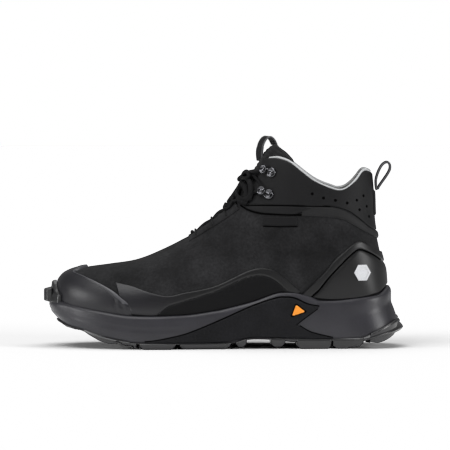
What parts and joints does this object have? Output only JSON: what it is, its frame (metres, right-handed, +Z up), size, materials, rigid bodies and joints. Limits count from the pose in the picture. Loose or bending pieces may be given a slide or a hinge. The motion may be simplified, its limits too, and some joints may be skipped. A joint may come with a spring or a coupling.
{
  "type": "hiking boot",
  "caption": "Mid-cut laced hiking boot for the left foot, with a moulded toe cap and heel cup, lugged sole, padded collar and pull loops.",
  "frame": {"origin": "centre of the bounding box in plan, on the ground plane that the tread rests on", "axes": "-X to the toe, +X to the heel, -Y to the outer side of the foot, +Z up"},
  "size_m": [0.3048, 0.107, 0.1786],
  "materials": {
    "midsole_foam": "satin moulded foam",
    "outsole_rubber": "satin",
    "plate": "matte",
    "insert": "satin",
    "board": "fibre board",
    "footbed": "knit",
    "suede": "nubuck",
    "lining": "mesh",
    "foam": "open foam",
    "piping": "smooth",
    "film": "satin moulded film",
    "overlay": "matte moulded film",
    "collar": "smooth",
    "label": "matte",
    "badge": "satin",
    "lace": "braided",
    "webbing": "woven",
    "hardware": "gunmetal gloss"
  },
  "bodies": {
    "boot": {"midsole": "midsole_foam", "outsole": "outsole_rubber", "lugs_toe": "outsole_rubber", "lugs_outer": "outsole_rubber", "lugs_inner": "outsole_rubber", "lugs_centre": "outsole_rubber", "lugs_heel": "outsole_rubber", "toe_bumper": "outsole_rubber", "toe_lugs": "outsole_rubber", "plate_outer": "plate", "plate_inner": "plate", "inserts": "insert", "lasting_board": "board", "vamp": "suede", "quarter_outer": "suede", "quarter_inner": "suede", "bootie": "lining", "collar_padding": "foam", "collar_piping": "piping", "toe_cap": "film", "overlay_outer": "overlay", "overlay_inner": "overlay", "heel_cup": "film", "ankle_band": "collar", "collar_outer": "collar", "collar_inner": "collar", "side_labels": "label", "heel_badge": "badge", "eyestays": "suede", "lace_keepers": "lace", "lace": "lace", "lace_bow": "lace", "lace_knot": "lace", "rivets": "hardware", "hooks_lower": "hardware", "hooks_top": "hardware", "heel_tab": "webbing"},
    "footbed": {"footbed": "footbed"},
    "tongue": {"tongue": "collar"},
    "tongue_pull": {"tongue_loop": "webbing"},
    "heel_pull": {"heel_loop": "webbing"}
  },
  "joints": [
    {"name": "footbed_lift", "type": "hinge", "parent": "boot", "child": "footbed", "pos_m": [-0.118, 0, 0.034], "axis": [0, -1, 0], "range_deg": [0, 4]},
    {"name": "tongue_hinge", "type": "hinge", "parent": "boot", "child": "tongue", "pos_m": [-0.026, 0, 0.09], "axis": [0, 1, 0], "range_deg": [0, 9], "stiffness_Nm_per_rad": 0.3},
    {"name": "tongue_loop_swing", "type": "hinge", "parent": "tongue", "child": "tongue_pull", "pos_m": [0.029, 0, 0.1586], "axis": [0.7001, 0, 0.7141], "range_deg": [-10, 10], "stiffness_Nm_per_rad": 0.01},
    {"name": "heel_loop_swing", "type": "hinge", "parent": "boot", "child": "heel_pull", "pos_m": [0.131, 0, 0.134], "axis": [0, 1, 0], "range_deg": [-6, 60], "stiffness_Nm_per_rad": 0.01}
  ]
}
